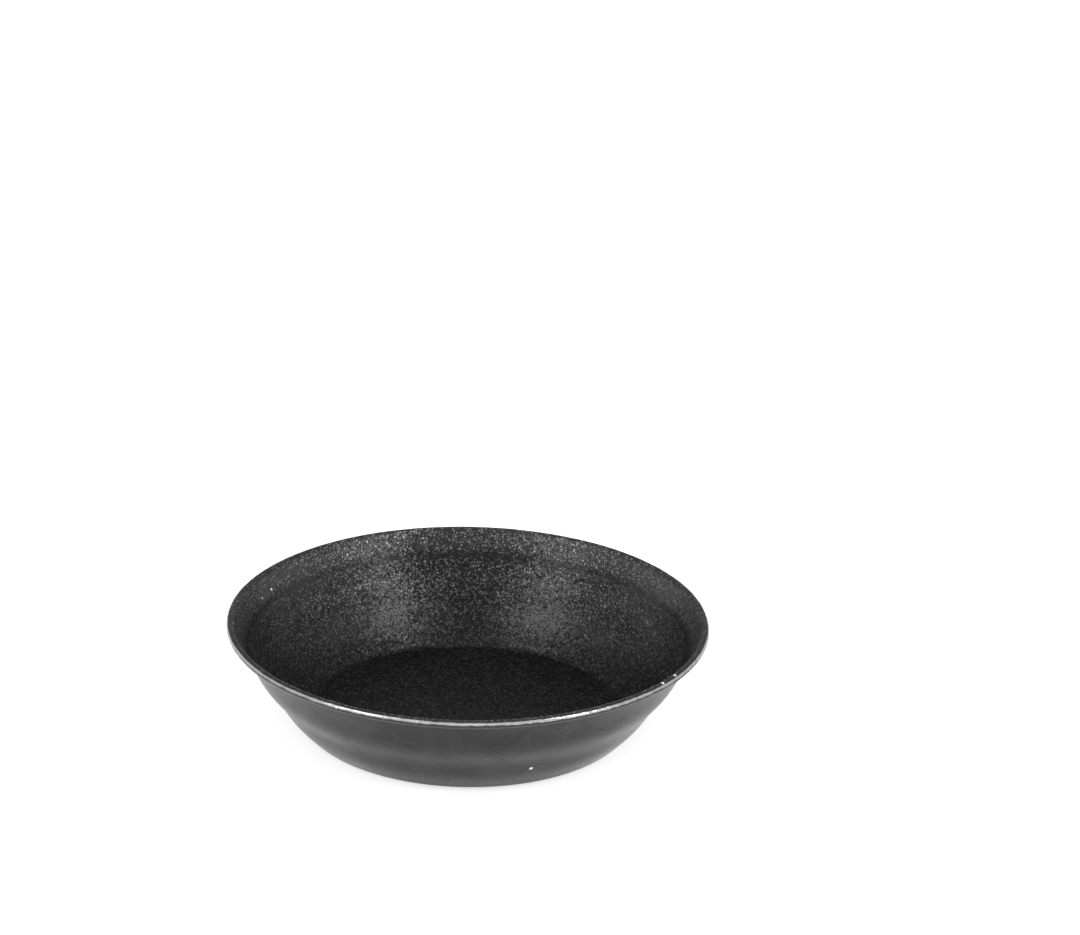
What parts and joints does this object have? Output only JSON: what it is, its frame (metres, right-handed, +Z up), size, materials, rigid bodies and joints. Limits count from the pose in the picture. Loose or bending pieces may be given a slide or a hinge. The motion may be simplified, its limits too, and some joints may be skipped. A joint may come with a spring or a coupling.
{
  "type": "gold pan",
  "caption": "Shallow round steel gold pan with a flat floor, sloping wall and a rim rolled over a stiffening wire.",
  "frame": {"origin": "centre of the underside of the flat floor, on the plane that the pan stands on", "axes": "+Z up along the pan's axis of revolution, out of the open mouth; X and Y in the plane of the floor"},
  "size_m": [0.254, 0.254, 0.0565],
  "materials": {
    "blackened_steel": "black oxide steel with a thin oil film, fine grey specks, worn bright along the rolled rim",
    "bare_wire": "drawn steel wire, dull grey with dark scale"
  },
  "bodies": {
    "root": {"pan_shell": "blackened_steel", "rim_wire": "bare_wire"}
  },
  "joints": []
}
